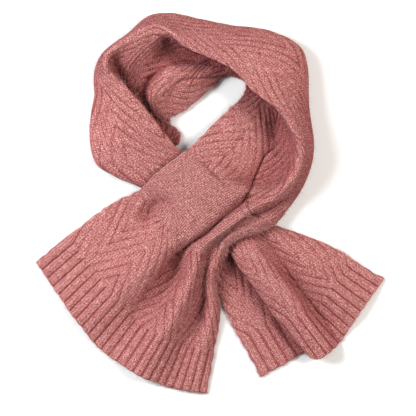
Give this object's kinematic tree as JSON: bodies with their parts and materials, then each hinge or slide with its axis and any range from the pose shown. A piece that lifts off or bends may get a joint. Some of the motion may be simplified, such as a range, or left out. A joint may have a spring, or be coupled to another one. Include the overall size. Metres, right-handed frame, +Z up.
{
  "type": "knit scarf",
  "caption": "Short knitted pull-through scarf in dusty pink melange yarn, laid flat with its tail pulled through the slot.",
  "frame": {"origin": "middle of the laid scarf's outline, on the table it lies on", "axes": "+Z up from the table; +Y towards the top of the picture, where the back of the collar lies; +X to the right"},
  "size_m": [0.4177, 0.456, 0.0476],
  "materials": {
    "rib_knit": "soft brushed melange wool knit",
    "plain_knit": "soft brushed melange wool plain knit"
  },
  "bodies": {
    "root": {"hem_left": "rib_knit", "tail_left": "rib_knit", "slot_front": "plain_knit", "slot_back": "plain_knit", "neck_right": "rib_knit", "neck_back": "rib_knit", "neck_corner": "rib_knit", "neck_left": "rib_knit", "tail_gather": "rib_knit", "tail_right": "rib_knit", "hem_right": "rib_knit"}
  },
  "joints": []
}
